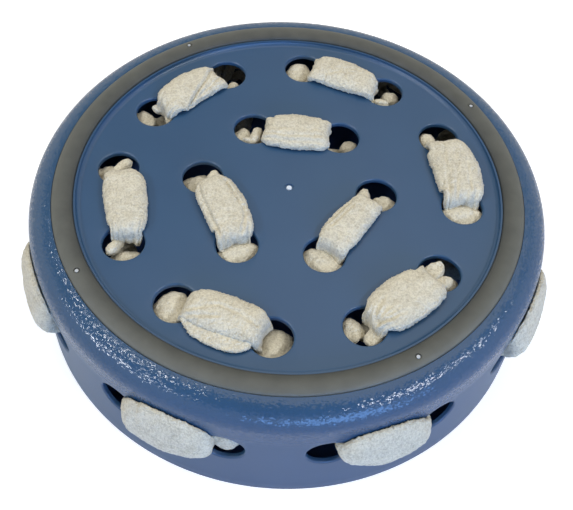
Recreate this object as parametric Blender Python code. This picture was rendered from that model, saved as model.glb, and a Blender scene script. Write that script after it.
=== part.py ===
# Snuffle bowl turned over on its mouth: a moulded shell, a rubber foot ring and tied fleece strips.
# Metres, +Z up. The origin is the centre of the mouth, on the surface that the bowl stands on.
# +X runs through the middle of the first strip of the outer row.

import math

import bmesh
import bpy
from mathutils import Matrix, Vector

# Shell
MOUTH_DIAMETER = 0.280
OVERALL_HEIGHT = 0.080
WALL = 0.0025
WALL_DRAFT = 0.0005  # the wall's radius is this much smaller at the shoulder than at the mouth
MOUTH_ROUND = 0.0006
SHOULDER_HEIGHT = 0.0126

# Foot: a land on the turned-over bottom, with a groove that holds the ring
RING_SETBACK = 0.0142  # from the mouth's radius to the ring's outer edge
RING_WIDTH = 0.0110
RING_PROUD = 0.0024  # the ring stands this far out of the land
GROOVE_DEPTH = 0.0012
GROOVE_FLOOR = 0.0018
INNER_LIP = 0.0010
OUTER_LIP = 0.0006
PLATE_RECESS = 0.0026  # the bottom plate lies this far below the land
CEILING_SLOPE = 0.0025  # run of the slope between the plate and the land on the bowl's inside

# Round dimples with a pin in the middle, left by the moulds' gates
GATE_RADIUS = 0.0026
GATE_PIN_RADIUS = 0.0013
GATE_DEPTH = 0.0005
NUB_DIMPLE_RADIUS = 0.0017
NUB_RADIUS = 0.0009
NUB_DEPTH = 0.0007
NUB_RADIUS_SHARE = 0.58  # where across the ring's width the four nubs stand
NUB_COUNT = 4
NUB_ANGLE = math.radians(20.9)

# Strip holes
HOLE_DIAMETER = 0.022
HOLE_CHAMFER = 0.0009
OUTER_SPACING = 0.0505
INNER_SPACING = 0.0490
WALL_SPACING = 0.0580
OUTER_ROW_SETBACK = 0.0248  # from the ring's inner edge to the middle of an outer pair
ROW_DISTANCE = 0.0497  # between the middles of the outer and the inner pairs, on the radius
WALL_HOLE_DROP = 0.0220  # below the shoulder
OUTER_PITCH = 0.0942  # along the circle through the pairs' middles
INNER_PITCH = 0.0844
WALL_PITCH = 0.1097
OUTER_ANGLE = 0.0
INNER_ANGLE = math.radians(75.0)
WALL_ANGLE = math.radians(11.25)

# Fleece strips
BAND_WIDTH = 0.0250
BAND_THICKNESS = 0.0046
WALL_BAND_THICKNESS = 0.0080
LEG_WIDTH = 0.0150
LEG_THICKNESS = 0.0046
LEG_OFFSET = 0.0060  # the legs run this far inside the holes' middles
WALL_LEG_OFFSET = 0.0072
HOLE_TURN = 0.0050
KNOT_TURN = 0.0042
KNOT_HALF_LENGTH = 0.0140
KNOT_RADIUS = 0.0048
KNOT_CLEARANCE = 0.0009
STRAND_WIDTH = 0.0064
STRAND_THICKNESS = 0.0052
TAIL_WIDTH = 0.0180
TAIL_THICKNESS = 0.0045
TAIL_SPREAD = 0.0080  # a tail hangs this far outside its hole's middle
TAIL_CLEARANCE = 0.0180  # between the tails' ends and the surface that the bowl stands on
LOOP_REACH = 0.0040
LOOP_DEPTH = 0.0038  # a tail turns over inside its hole, this far below the plate's outside
WALL_LOOP_DEPTH = 0.0095
KNOT_TURNS = 1.5
KNOT_STEPS = 7

SEAT_GAP = 0.0003
OVERRUN = 0.0020
MERGE_DISTANCE = 0.000001
FACETS = 80
HOLE_SIDES = 20
GATE_SIDES = 12
SMOOTH_ANGLE = math.radians(40)

# A strip's section: across its width, and from its underside to its crown
SECTION_SHARES = ((-0.5, -0.06), (-0.30, -0.5), (0.30, -0.5), (0.5, -0.06), (0.27, 0.5), (-0.27, 0.5))
# The ring's section: across its width, and from its seat to its crown
RING_SHARES = (
    (0.0, 0.0), (0.0, 0.45), (0.10, 0.82), (0.27, 1.0),
    (0.62, 1.0), (0.85, 0.80), (1.0, 0.40), (1.0, 0.0),
)
# How much of the band's width and thickness is left, over the leg's, from its middle to the hole's rim
BAND_WIDTH_SHARES = (0.96, 0.60, 0.25)
BAND_THICKNESS_SHARES = (1.0, 0.75)
# A tail's stations behind its knot: how far its width and its run have opened out
TAIL_WIDTH_SHARES = (0.15, 0.35, 0.55, 0.80, 1.0, 1.0)
TAIL_DROP_SHARES = (0.08, 0.30, 0.62, 1.0)
HALFWAY_SHARE = 0.5
HALFWAY_RISE_SHARE = 0.25
TAIL_SINK_SHARE = 0.6  # how far a wall strip's tail leans into the bowl, of its spread

# Heights and radii that follow from the sizes above
MOUTH_RADIUS = MOUTH_DIAMETER / 2
SHOULDER_RADIUS = MOUTH_RADIUS - WALL_DRAFT
RING_OUTER = MOUTH_RADIUS - RING_SETBACK
RING_INNER = RING_OUTER - RING_WIDTH
GROOVE_OUTER = RING_OUTER + SEAT_GAP
GROOVE_INNER = RING_INNER - SEAT_GAP
LAND_Z = OVERALL_HEIGHT - RING_PROUD
GROOVE_Z = LAND_Z - GROOVE_DEPTH
PLATE_Z = LAND_Z - PLATE_RECESS
SHOULDER_Z = LAND_Z - SHOULDER_HEIGHT
CEILING_Z = GROOVE_Z - GROOVE_FLOOR
HOLE_RADIUS = HOLE_DIAMETER / 2
WALL_HOLE_Z = SHOULDER_Z - WALL_HOLE_DROP
WALL_HOLE_RADIUS = MOUTH_RADIUS - WALL_DRAFT * WALL_HOLE_Z / SHOULDER_Z
OUTER_ROW_RADIUS = RING_INNER - OUTER_ROW_SETBACK
INNER_ROW_RADIUS = OUTER_ROW_RADIUS - ROW_DISTANCE
KNOT_DEPTH = WALL + KNOT_CLEARANCE + STRAND_THICKNESS / 2 + KNOT_RADIUS


def clear_scene():
    for item in list(bpy.data.objects):
        bpy.data.objects.remove(item)


def make_material(name, colour, roughness):
    material = bpy.data.materials.new(name)
    material.use_nodes = True
    shader = material.node_tree.nodes["Principled BSDF"]
    shader.inputs["Base Color"].default_value = (*colour, 1)
    shader.inputs["Roughness"].default_value = roughness
    shader.inputs["Metallic"].default_value = 0
    return material


def add_object(name, bm, material=None):
    mesh = bpy.data.meshes.new(name)
    bm.to_mesh(mesh)
    bm.free()
    mesh.shade_smooth()
    mesh.set_sharp_from_angle(angle=SMOOTH_ANGLE)
    item = bpy.data.objects.new(name, mesh)
    bpy.context.scene.collection.objects.link(item)
    if material:
        mesh.materials.append(material)
    return item


def cut(item, cutter):
    cutter.hide_render = True
    cutter.display_type = "WIRE"
    modifier = item.modifiers.new("cut", "BOOLEAN")
    modifier.object = cutter
    modifier.operation = "DIFFERENCE"
    modifier.solver = "EXACT"


def arc(centre, radii, start, end, steps):
    """Points on an ellipse's arc, with angles from +r towards +z."""
    points = []
    for step in range(steps + 1):
        angle = math.radians(start + (end - start) * step / steps)
        points.append((centre[0] + radii[0] * math.cos(angle), centre[1] + radii[1] * math.sin(angle)))
    return points


def turn(bm, outline, sides, placing=None):
    """Turns an outline of (r, z) points about Z into a closed solid, and places it."""
    placing = placing or Matrix.Identity(4)
    made = [bm.verts.new((r, 0, z)) for r, z in outline]
    edges = [bm.edges.new(pair) for pair in zip(made, made[1:])]
    if outline[0][0] > 0:
        edges.append(bm.edges.new((made[-1], made[0])))
    before = set(bm.verts) - set(made)
    origin, axis = (0, 0, 0), (0, 0, 1)
    bmesh.ops.spin(bm, geom=made + edges, cent=origin, axis=axis, angle=math.tau, steps=sides)
    turned = [vert for vert in bm.verts if vert not in before]
    bmesh.ops.remove_doubles(bm, verts=turned, dist=MERGE_DISTANCE)
    turned = [vert for vert in bm.verts if vert not in before]
    bmesh.ops.transform(bm, matrix=placing, verts=turned)


def row_angles(radius, pitch, first):
    count = max(round(math.tau * radius / pitch), 1)
    return [first + math.tau * index / count for index in range(count)]


def shell_outline():
    """Half of the shell's section, from the middle of the plate's outside round to its inside."""
    lip_start = GROOVE_INNER - INNER_LIP
    shoulder_start = GROOVE_OUTER + OUTER_LIP
    shoulder_width = SHOULDER_RADIUS - shoulder_start
    inner_mouth = MOUTH_RADIUS - WALL
    fillet = arc((lip_start - PLATE_RECESS, LAND_Z), (PLATE_RECESS, PLATE_RECESS), -90, 0, 3)
    groove = [
        (GROOVE_INNER, LAND_Z), (GROOVE_INNER, GROOVE_Z),
        (GROOVE_OUTER, GROOVE_Z), (GROOVE_OUTER, LAND_Z),
    ]
    shoulder = arc((shoulder_start, SHOULDER_Z), (shoulder_width, SHOULDER_HEIGHT), 90, 0, 6)
    rim_radii = (MOUTH_ROUND, MOUTH_ROUND)
    outer_rim = arc((MOUTH_RADIUS - MOUTH_ROUND, MOUTH_ROUND), rim_radii, 0, -90, 2)
    inner_rim = arc((inner_mouth + MOUTH_ROUND, MOUTH_ROUND), rim_radii, -90, -180, 2)
    inner_radii = (shoulder_width - WALL, CEILING_Z - SHOULDER_Z)
    inner_shoulder = arc((shoulder_start, SHOULDER_Z), inner_radii, 0, 90, 4)
    ceiling = [(lip_start, CEILING_Z), (lip_start - CEILING_SLOPE, PLATE_Z - WALL)]
    plate_middle = [(0, PLATE_Z)]
    plate_inside = [(0, PLATE_Z - WALL)]
    return (
        plate_middle + fillet + groove + shoulder + outer_rim + inner_rim
        + inner_shoulder + ceiling + plate_inside
    )


def hole_outline():
    """Section of the cutter for one hole; z = 0 is the outer surface, which gets the chamfer."""
    flare = HOLE_RADIUS + HOLE_CHAMFER + OVERRUN
    return [(0, OVERRUN), (flare, OVERRUN), (HOLE_RADIUS, -HOLE_CHAMFER), (HOLE_RADIUS, -WALL - OVERRUN),
            (0, -WALL - OVERRUN)]


def dimple_outline(radius, pin_radius, depth):
    return [(pin_radius, OVERRUN), (radius, OVERRUN), (radius, -depth), (pin_radius, -depth)]


def plate_frame(radius, angle):
    """Axes of a plate strip: along the pair, outwards along the plate, and up out of it."""
    turned = Matrix.Rotation(angle, 4, "Z")
    axes = Matrix(((0, 1, 0, 0), (1, 0, 0, 0), (0, 0, 1, 0), (0, 0, 0, 1)))
    return turned @ Matrix.Translation((radius, 0, PLATE_Z)) @ axes


def plate_point(radius, angle):
    frame = plate_frame(radius, angle)
    return lambda along, across, out: frame @ Vector((along, across, out))


def wall_point(angle):
    """Places a point by its way round the wall, its height over the holes' middle and its way out."""
    def place(along, across, out):
        around = angle + along / WALL_HOLE_RADIUS
        reach = WALL_HOLE_RADIUS + out
        return Vector((reach * math.cos(around), reach * math.sin(around), WALL_HOLE_Z + across))
    return place


def cut_plate_holes(bm):
    rows = (
        (OUTER_ROW_RADIUS, OUTER_PITCH, OUTER_ANGLE, OUTER_SPACING),
        (INNER_ROW_RADIUS, INNER_PITCH, INNER_ANGLE, INNER_SPACING),
    )
    for radius, pitch, first, spacing in rows:
        for angle in row_angles(radius, pitch, first):
            for side in (-1, 1):
                middle = plate_frame(radius, angle) @ Vector((side * spacing / 2, 0, 0))
                turn(bm, hole_outline(), HOLE_SIDES, Matrix.Translation(middle))


def cut_wall_holes(bm):
    for angle in row_angles(WALL_HOLE_RADIUS, WALL_PITCH, WALL_ANGLE):
        for side in (-1, 1):
            around = angle + side * WALL_SPACING / 2 / WALL_HOLE_RADIUS
            middle = Matrix.Translation((WALL_HOLE_RADIUS, 0, WALL_HOLE_Z))
            outwards = Matrix.Rotation(around, 4, "Z") @ middle @ Matrix.Rotation(math.pi / 2, 4, "Y")
            turn(bm, hole_outline(), HOLE_SIDES, outwards)


def make_cutter(name, fill):
    bm = bmesh.new()
    fill(bm)
    bmesh.ops.recalc_face_normals(bm, faces=bm.faces)
    return add_object(name, bm)


def make_shell(material):
    bm = bmesh.new()
    turn(bm, shell_outline(), FACETS)
    bmesh.ops.recalc_face_normals(bm, faces=bm.faces)
    shell = add_object("bowl_shell", bm, material)
    cut(shell, make_cutter("plate_hole_cutter", cut_plate_holes))
    cut(shell, make_cutter("wall_hole_cutter", cut_wall_holes))
    gate = dimple_outline(GATE_RADIUS, GATE_PIN_RADIUS, GATE_DEPTH)
    placing = Matrix.Translation((0, 0, PLATE_Z))
    cut(shell, make_cutter("gate_cutter", lambda cutter: turn(cutter, gate, GATE_SIDES, placing)))


def cut_nub_dimples(bm):
    radius = RING_INNER + RING_WIDTH * NUB_RADIUS_SHARE
    for index in range(NUB_COUNT):
        turned = Matrix.Rotation(NUB_ANGLE + math.tau * index / NUB_COUNT, 4, "Z")
        outline = dimple_outline(NUB_DIMPLE_RADIUS, NUB_RADIUS, NUB_DEPTH)
        turn(bm, outline, GATE_SIDES, turned @ Matrix.Translation((radius, 0, OVERALL_HEIGHT)))


def make_foot_ring(material):
    seat = GROOVE_Z + SEAT_GAP
    height = OVERALL_HEIGHT - seat
    outline = [(RING_INNER + RING_WIDTH * across, seat + height * up) for across, up in RING_SHARES]
    bm = bmesh.new()
    turn(bm, outline, FACETS)
    bmesh.ops.recalc_face_normals(bm, faces=bm.faces)
    ring = add_object("foot_ring", bm, material)
    cut(ring, make_cutter("nub_cutter", cut_nub_dimples))


def mix(start, end, share):
    return start + (end - start) * share


def band_stations(spacing, thickness, leg_offset):
    """From beside the band's middle over the hole's rim and down the hole. Each has a place and a size."""
    leg = spacing / 2 - leg_offset
    middle = SEAT_GAP + thickness / 2
    run = leg - HOLE_TURN
    rim, bottom = arc((run, middle - HOLE_TURN), (HOLE_TURN, HOLE_TURN), 45, 0, 1)
    beside, before, over = [mix(LEG_WIDTH, BAND_WIDTH, share) for share in BAND_WIDTH_SHARES]
    full, thinner = [mix(LEG_THICKNESS, thickness, share) for share in BAND_THICKNESS_SHARES]
    stations = [
        ((run / 2, middle), beside, full),
        ((run, middle), before, thinner),
        (rim, over, LEG_THICKNESS),
        (bottom, LEG_WIDTH, LEG_THICKNESS),
    ]
    knot_bend = (leg - KNOT_TURN, KNOT_RADIUS - KNOT_DEPTH + KNOT_TURN)
    for place in arc(knot_bend, (KNOT_TURN, KNOT_TURN), -45, -90, 1):
        stations.append((place, (LEG_WIDTH + STRAND_WIDTH) / 2, (LEG_THICKNESS + STRAND_THICKNESS) / 2))
    across = Vector((0, 1, 0))
    return [(Vector((along, 0, out)), width, thick, across) for (along, out), width, thick in stations]


def knot_stations():
    """One strand of the knot: it winds about the other strand, from the knot's top to its underside."""
    stations = []
    for step in range(KNOT_STEPS + 1):
        share = step / KNOT_STEPS
        angle = math.pi / 2 + math.tau * KNOT_TURNS * share
        outward = Vector((0, math.cos(angle), math.sin(angle)))
        place = Vector((KNOT_HALF_LENGTH * (1 - 2 * share), 0, -KNOT_DEPTH)) + outward * KNOT_RADIUS
        around = Vector((0, -math.sin(angle), math.cos(angle)))
        pitch = 2 * KNOT_HALF_LENGTH / (math.tau * KNOT_TURNS * KNOT_RADIUS)
        heading = (around - Vector((pitch, 0, 0))).normalized()
        stations.append((place, STRAND_WIDTH, STRAND_THICKNESS, heading.cross(outward)))
    return stations


def tail_stations(spacing, drop, loop_depth, sideways):
    """Behind the knot a tail rises under its hole, turns over and hangs down.

    It hangs along -out under the plate, and sideways, along +across or -across, inside the wall.
    """
    hole = spacing / 2
    knot_end = Vector((-KNOT_HALF_LENGTH, 0, -KNOT_DEPTH - KNOT_RADIUS))
    crest = Vector((-hole - LOOP_REACH, 0, -loop_depth))
    halfway = knot_end.lerp(crest, HALFWAY_SHARE)
    halfway.z = mix(knot_end.z, crest.z, HALFWAY_RISE_SHARE)
    places = [halfway, crest]
    for share in TAIL_DROP_SHARES:
        if sideways:
            lean = loop_depth + TAIL_SPREAD * TAIL_SINK_SHARE * min(share * 2, 1)
            places.append(Vector((-hole - TAIL_SPREAD, sideways * drop * share, -lean)))
        else:
            places.append(Vector((-hole - TAIL_SPREAD, 0, mix(-loop_depth, -drop, share))))
    stations = []
    for index, (place, share) in enumerate(zip(places, TAIL_WIDTH_SHARES)):
        heading = (places[min(index + 1, len(places) - 1)] - places[max(index - 1, 0)]).normalized()
        across = Vector((0, 0, 1)).cross(heading) if sideways else Vector((0, -1, 0))
        stations.append((place, mix(STRAND_WIDTH, TAIL_WIDTH, share), TAIL_THICKNESS, across))
    return stations


def strip_stations(spacing, thickness, drop, on_wall):
    """The whole strip, from tail end to tail end; its second half is the first turned half round."""
    leg_offset, loop_depth = (WALL_LEG_OFFSET, WALL_LOOP_DEPTH) if on_wall else (LEG_OFFSET, LOOP_DEPTH)
    band = band_stations(spacing, thickness, leg_offset)
    halves = []
    for hang in (-1, 1):
        tail = tail_stations(spacing, drop, loop_depth, hang if on_wall else 0)
        halves.append(band + knot_stations() + tail)
    turned = [
        (Vector((-place.x, -place.y, place.z)), width, thick, Vector((across.x, across.y, -across.z)))
        for place, width, thick, across in reversed(halves[1])
    ]
    middle = (Vector((0, 0, SEAT_GAP + thickness / 2)), BAND_WIDTH, thickness, Vector((0, 1, 0)))
    return turned + [middle] + halves[0]


def section(before, station, after):
    """The corners of a strip's section, square to the way it runs."""
    place, width, thickness, across = station
    heading = (after[0] - before[0]).normalized()
    across = (across - heading * across.dot(heading)).normalized()
    crown = heading.cross(across)
    return [place + across * width * side + crown * thickness * up for side, up in SECTION_SHARES]


def strip_sections(stations):
    count = len(stations)
    return [
        section(stations[max(index - 1, 0)], station, stations[min(index + 1, count - 1)])
        for index, station in enumerate(stations)
    ]


def make_strip(name, sections, place, material):
    bm = bmesh.new()
    rings = [[bm.verts.new(place(*corner)) for corner in corners] for corners in sections]
    for ring, following in zip(rings, rings[1:]):
        for index in range(len(ring)):
            after = (index + 1) % len(ring)
            bm.faces.new((ring[index], ring[after], following[after], following[index]))
    bm.faces.new(rings[0])
    bm.faces.new(rings[-1])
    bmesh.ops.recalc_face_normals(bm, faces=bm.faces)
    add_object(name, bm, material)


def least_gap(sections):
    """The least distance between corners of a strip that lie well apart along it."""
    apart = KNOT_STEPS // 2
    return min(
        (corner - other).length
        for index, corners in enumerate(sections)
        for others in sections[index + apart:]
        for corner in corners
        for other in others
    )


def make_row(name, places, spacing, thickness, drop, on_wall, material):
    sections = strip_sections(strip_stations(spacing, thickness, drop, on_wall))
    print(name, "least gap in the knot, in metres:", round(least_gap(sections), 5))
    for number, place in enumerate(places, 1):
        make_strip(f"{name}_{number}", sections, place, material)


def make_strips(material):
    plate_drop = PLATE_Z - TAIL_CLEARANCE
    wall_drop = WALL_HOLE_Z - TAIL_CLEARANCE
    outer_angles = row_angles(OUTER_ROW_RADIUS, OUTER_PITCH, OUTER_ANGLE)
    inner_angles = row_angles(INNER_ROW_RADIUS, INNER_PITCH, INNER_ANGLE)
    outer = [plate_point(OUTER_ROW_RADIUS, angle) for angle in outer_angles]
    inner = [plate_point(INNER_ROW_RADIUS, angle) for angle in inner_angles]
    wall = [wall_point(angle) for angle in row_angles(WALL_HOLE_RADIUS, WALL_PITCH, WALL_ANGLE)]
    make_row("outer_strip", outer, OUTER_SPACING, BAND_THICKNESS, plate_drop, False, material)
    make_row("inner_strip", inner, INNER_SPACING, BAND_THICKNESS, plate_drop, False, material)
    make_row("wall_strip", wall, WALL_SPACING, WALL_BAND_THICKNESS, wall_drop, True, material)


def build():
    clear_scene()
    make_shell(make_material("blue polypropylene", (0.085, 0.165, 0.270), 0.42))
    make_foot_ring(make_material("grey rubber", (0.105, 0.110, 0.095), 0.55))
    make_strips(make_material("cream fleece", (0.560, 0.535, 0.450), 0.95))


build()
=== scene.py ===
# Snuffle bowl turned over on its mouth: moulded bowl, rubber foot ring and tied fleece strips.
# Everything is in metres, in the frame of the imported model. A size in millimetres is a number times mm.
import math

import bmesh
import bpy
import numpy as np
from mathutils import Matrix, Vector, noise


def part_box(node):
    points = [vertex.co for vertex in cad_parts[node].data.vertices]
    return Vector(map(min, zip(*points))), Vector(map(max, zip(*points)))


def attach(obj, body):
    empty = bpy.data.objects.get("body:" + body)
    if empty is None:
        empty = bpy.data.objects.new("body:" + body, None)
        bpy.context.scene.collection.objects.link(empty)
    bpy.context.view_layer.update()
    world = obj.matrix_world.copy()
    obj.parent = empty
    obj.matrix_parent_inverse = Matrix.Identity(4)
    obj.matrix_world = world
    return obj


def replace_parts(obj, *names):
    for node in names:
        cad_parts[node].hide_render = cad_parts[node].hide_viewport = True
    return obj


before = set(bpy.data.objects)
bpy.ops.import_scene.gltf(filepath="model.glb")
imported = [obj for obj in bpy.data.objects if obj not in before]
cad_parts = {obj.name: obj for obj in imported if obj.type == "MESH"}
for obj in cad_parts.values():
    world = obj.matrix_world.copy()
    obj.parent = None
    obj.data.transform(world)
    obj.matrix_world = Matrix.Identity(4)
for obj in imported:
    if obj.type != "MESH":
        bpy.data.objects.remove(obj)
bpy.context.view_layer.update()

mm = 0.001
mixFrom, mixTo, mixed = 6, 7, 2      # the sockets of a Mix node that mixes colours
scene = bpy.context.scene

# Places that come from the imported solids
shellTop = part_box("bowl_shell")[1].z
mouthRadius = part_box("bowl_shell")[1].x
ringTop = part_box("foot_ring")[1].z
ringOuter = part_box("foot_ring")[1].x

bowl = dict(
    wall=2.5 * mm, wallDraft=0.5 * mm, mouthRound=0.6 * mm,
    shoulderHeight=12.6 * mm, plateRecess=2.6 * mm, ceilingSlope=2.5 * mm,
    grooveDepth=1.2 * mm, grooveFloor=1.8 * mm, innerLip=1.0 * mm, outerLip=0.6 * mm, seatGap=0.3 * mm,
    segments=256, filletSteps=8, shoulderSteps=20, rimSteps=4, insideSteps=10, sharpAngle=35,
    plateRings=(0, 0.12, 0.25, 0.4, 0.55, 0.7, 0.85), wallRings=(0.85, 0.7, 0.55, 0.4, 0.25, 0.1),
    overrun=2 * mm,      # how far a cutter stands out of what it cuts
)
plateZ = shellTop - bowl["plateRecess"]
shoulderZ = shellTop - bowl["shoulderHeight"]
shoulderRadius = mouthRadius - bowl["wallDraft"]

ring = dict(
    width=11 * mm, crest=0.46, innerSide=0.35, outerSide=0.3, innerSteps=12, outerSteps=14,
    nubAcross=0.58, nubRadius=0.9 * mm, nubHollow=1.7 * mm, nubDepth=0.7 * mm,
    nubCount=4, nubAngle=20.9, nubSides=24, segments=288, sharpAngle=40,
)
ringInner = ringOuter - ring["width"]

holes = dict(
    radius=11 * mm, round=1.1 * mm, sides=64, roundSteps=7,
    gateRadius=2.6 * mm, gatePin=1.3 * mm, gateDepth=0.5 * mm, gateSides=32,
)
outerRow = dict(name="outer_strip", count=6, first=0, radius=ringInner - 24.8 * mm, spacing=50.5 * mm)
innerRow = dict(name="inner_strip", count=3, first=75, radius=ringInner - 74.5 * mm, spacing=49 * mm)
wallRow = dict(name="wall_strip", count=8, first=11.25, drop=22 * mm, spacing=58 * mm)
stripRows = (outerRow, innerRow, wallRow)
wallHoleZ = shoulderZ - wallRow["drop"]
wallRow["radius"] = mouthRadius - bowl["wallDraft"] * wallHoleZ / shoulderZ


# Small helpers

def hexColour(text):
    parts = [int(text[i:i + 2], 16) / 255 for i in (1, 3, 5)]
    return (*[c / 12.92 if c <= 0.04045 else ((c + 0.055) / 1.055) ** 2.4 for c in parts], 1)


def setSockets(tree, node, sockets):
    # a socket takes a value, or a link from an output or from a node's first output
    for key, value in sockets.items():
        if isinstance(value, bpy.types.Node):
            value = value.outputs[0]
        if isinstance(value, bpy.types.NodeSocket):
            tree.links.new(value, node.inputs[key])
        else:
            node.inputs[key].default_value = value


def addNode(tree, kind, sockets={}, **settings):
    node = tree.nodes.new(kind)
    for name, value in settings.items():
        setattr(node, name, value)
    setSockets(tree, node, sockets)
    return node


def newMaterial(name):
    material = bpy.data.materials.new(name)
    material.use_nodes = True
    tree = material.node_tree
    tree.nodes.clear()
    shader = addNode(tree, "ShaderNodeBsdfPrincipled")
    addNode(tree, "ShaderNodeOutputMaterial", {"Surface": shader.outputs["BSDF"]})
    return material, tree, shader


def placeAndRadius(tree):
    # Object coordinates, and the distance from the bowl's axis
    place = addNode(tree, "ShaderNodeTexCoord").outputs["Object"]
    flat = addNode(tree, "ShaderNodeVectorMath", {0: place, 1: (1, 1, 0)}, operation="MULTIPLY")
    radius = addNode(tree, "ShaderNodeVectorMath", {0: flat}, operation="LENGTH")
    return place, radius.outputs["Value"]


def linked(name, data):
    item = bpy.data.objects.new(name, data)
    scene.collection.objects.link(item)
    return item


def newPiece(name, mesh, material):
    piece = linked(name, mesh)
    mesh.materials.clear()
    mesh.materials.append(material)
    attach(piece, "root")
    return piece


def mix(start, end, share):
    return start + (end - start) * share


def arc(centre, radii, start, end, steps):
    angles = [math.radians(start + (end - start) * step / steps) for step in range(steps + 1)]
    return [(centre[0] + radii[0] * math.cos(a), centre[1] + radii[1] * math.sin(a)) for a in angles]


def spun(outline, segments):
    # turns an outline of (r, z) points about Z into a closed body
    bm = bmesh.new()
    verts = [bm.verts.new((r, 0, z)) for r, z in outline]
    pairs = list(zip(verts, verts[1:]))
    if outline[0][0] > 0:
        pairs.append((verts[-1], verts[0]))
    edges = [bm.edges.new(pair) for pair in pairs]
    bmesh.ops.spin(bm, geom=verts + edges, cent=(0, 0, 0), axis=(0, 0, 1), angle=math.tau, steps=segments)
    bmesh.ops.remove_doubles(bm, verts=bm.verts, dist=0.001 * mm)
    bmesh.ops.recalc_face_normals(bm, faces=bm.faces)
    return bm


def smoothed(mesh, sharpAngle=40):
    mesh.shade_smooth()
    mesh.set_sharp_from_angle(angle=math.radians(sharpAngle))
    return mesh


def meshFrom(bm, name):
    mesh = bpy.data.meshes.new(name)
    bm.to_mesh(mesh)
    bm.free()
    return smoothed(mesh)


def cutMesh(item, cutters, sharpAngle):
    # the evaluated object as a mesh of its own, with its modifiers and the cutters gone
    evaluated = item.evaluated_get(bpy.context.evaluated_depsgraph_get())
    mesh = bpy.data.meshes.new_from_object(evaluated)
    mesh.name = item.name
    item.modifiers.clear()
    for spent in (item, *cutters):
        bpy.data.objects.remove(spent)
    return smoothed(mesh, sharpAngle)


# Polypropylene, injection moulded: satin on the plate, and a spark-eroded grain that glitters on the
# shoulder. The real grain is some 0.2 mm and would not show, so it is drawn as facets of 1.0 by 0.6 mm.

# the gate colour is a painted highlight on the stub of the cut sprue
plastic = dict(
    body="#294968", bright="#2E506F", gate="#D5DEE6", gateHighlightFade=1.3, cloud=35 * mm, ior=1.49,
    plateRough=0.34, grainRough=0.16, grainLong=1.0 * mm, grainWide=0.6 * mm, grainTilt=0.24,
    grainEdge=2 * mm, wallFade=14 * mm, satin=0.25 * mm, satinDepth=0.02 * mm, satinBump=0.1,
)


def makeBowlPlastic():
    p = plastic
    material, tree, shader = newMaterial("blue polypropylene, injection moulded")
    place, radius = placeAndRadius(tree)
    apart = addNode(tree, "ShaderNodeSeparateXYZ", {0: place}).outputs
    cloud = addNode(tree, "ShaderNodeTexNoise", {"Vector": place, "Scale": 1 / p["cloud"], "Detail": 2})
    colour = addNode(tree, "ShaderNodeMix", {
        "Factor": cloud.outputs["Fac"], mixFrom: hexColour(p["body"]), mixTo: hexColour(p["bright"]),
    }, data_type="RGBA")
    # the grain starts outside the ring, covers the shoulder and fades on the wall
    outside = addNode(tree, "ShaderNodeMapRange", {
        "Value": radius, "From Min": ringOuter - p["grainEdge"], "From Max": ringOuter + p["grainEdge"],
    })
    above = addNode(tree, "ShaderNodeMapRange", {
        "Value": apart[2], "From Min": shoulderZ - p["wallFade"], "From Max": shoulderZ,
    })
    grained = addNode(tree, "ShaderNodeMath", {0: outside, 1: above}, operation="MULTIPLY")
    # places counted in grains: round the axis, outwards and up
    turn = addNode(tree, "ShaderNodeMath", {0: apart[1], 1: apart[0]}, operation="ARCTAN2")
    perTurn, perMetre = mouthRadius / p["grainLong"], 1 / p["grainWide"]
    counted = addNode(tree, "ShaderNodeCombineXYZ", {
        n: addNode(tree, "ShaderNodeMath", {0: way, 1: grains}, operation="MULTIPLY")
        for n, (way, grains) in enumerate(((turn, perTurn), (radius, perMetre), (apart[2], perMetre)))
    })
    # every grain is a facet that is tilted its own way
    facet = addNode(tree, "ShaderNodeTexVoronoi", {"Vector": counted, "Scale": 1})
    centred = addNode(tree, "ShaderNodeVectorMath", {
        0: facet.outputs["Color"], 1: (0.5, 0.5, 0.5),
    }, operation="SUBTRACT")
    steep = addNode(tree, "ShaderNodeMath", {0: grained, 1: p["grainTilt"]}, operation="MULTIPLY")
    tilt = addNode(tree, "ShaderNodeVectorMath", {0: centred, "Scale": steep}, operation="SCALE")
    satin = addNode(tree, "ShaderNodeTexNoise", {"Vector": place, "Scale": 1 / p["satin"], "Detail": 1})
    satinBump = addNode(tree, "ShaderNodeBump", {
        "Height": satin.outputs["Fac"], "Strength": p["satinBump"], "Distance": p["satinDepth"],
    })
    tilted = addNode(tree, "ShaderNodeVectorMath", {0: satinBump, 1: tilt}, operation="ADD")
    glittering = addNode(tree, "ShaderNodeVectorMath", {0: tilted}, operation="NORMALIZE")
    rough = addNode(tree, "ShaderNodeMapRange", {
        "Value": grained, "To Min": p["plateRough"], "To Max": p["grainRough"],
    })
    gate = addNode(tree, "ShaderNodeMapRange", {       # painted highlight: pale on the stub where the sprue was cut
        "Value": radius, "From Min": holes["gatePin"], "From Max": holes["gatePin"] * p["gateHighlightFade"],
    })
    gateHighlighted = addNode(tree, "ShaderNodeMix", {
        "Factor": gate, mixFrom: hexColour(p["gate"]), mixTo: colour.outputs[mixed],
    }, data_type="RGBA")
    setSockets(tree, shader, {
        "Base Color": gateHighlighted.outputs[mixed], "Roughness": rough, "Normal": glittering, "IOR": p["ior"],
    })
    return material


# Thermoplastic rubber, moulded: a grey that hardly shines, with painted light making it lighter towards its
# outer side and painted shade darker on its inner side. The real grit would not show, so it is drawn coarser.

# the paler grey serves random tone and painted light towards the ring's outer side
rubber = dict(
    # the gate grey is a painted highlight on the stub of each cut gate
    body="#373935", paleAndLit="#616259", gate="#B9BDBE", gateHighlightFade=1.3, roughness=0.55,
    cloud=9 * mm, cloudShare=0.6, innerPaintedShade=-0.25, outerPaintedLight=0.6,
    grit=0.35 * mm, gritDepth=0.03 * mm, gritBump=0.25,
)


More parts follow.
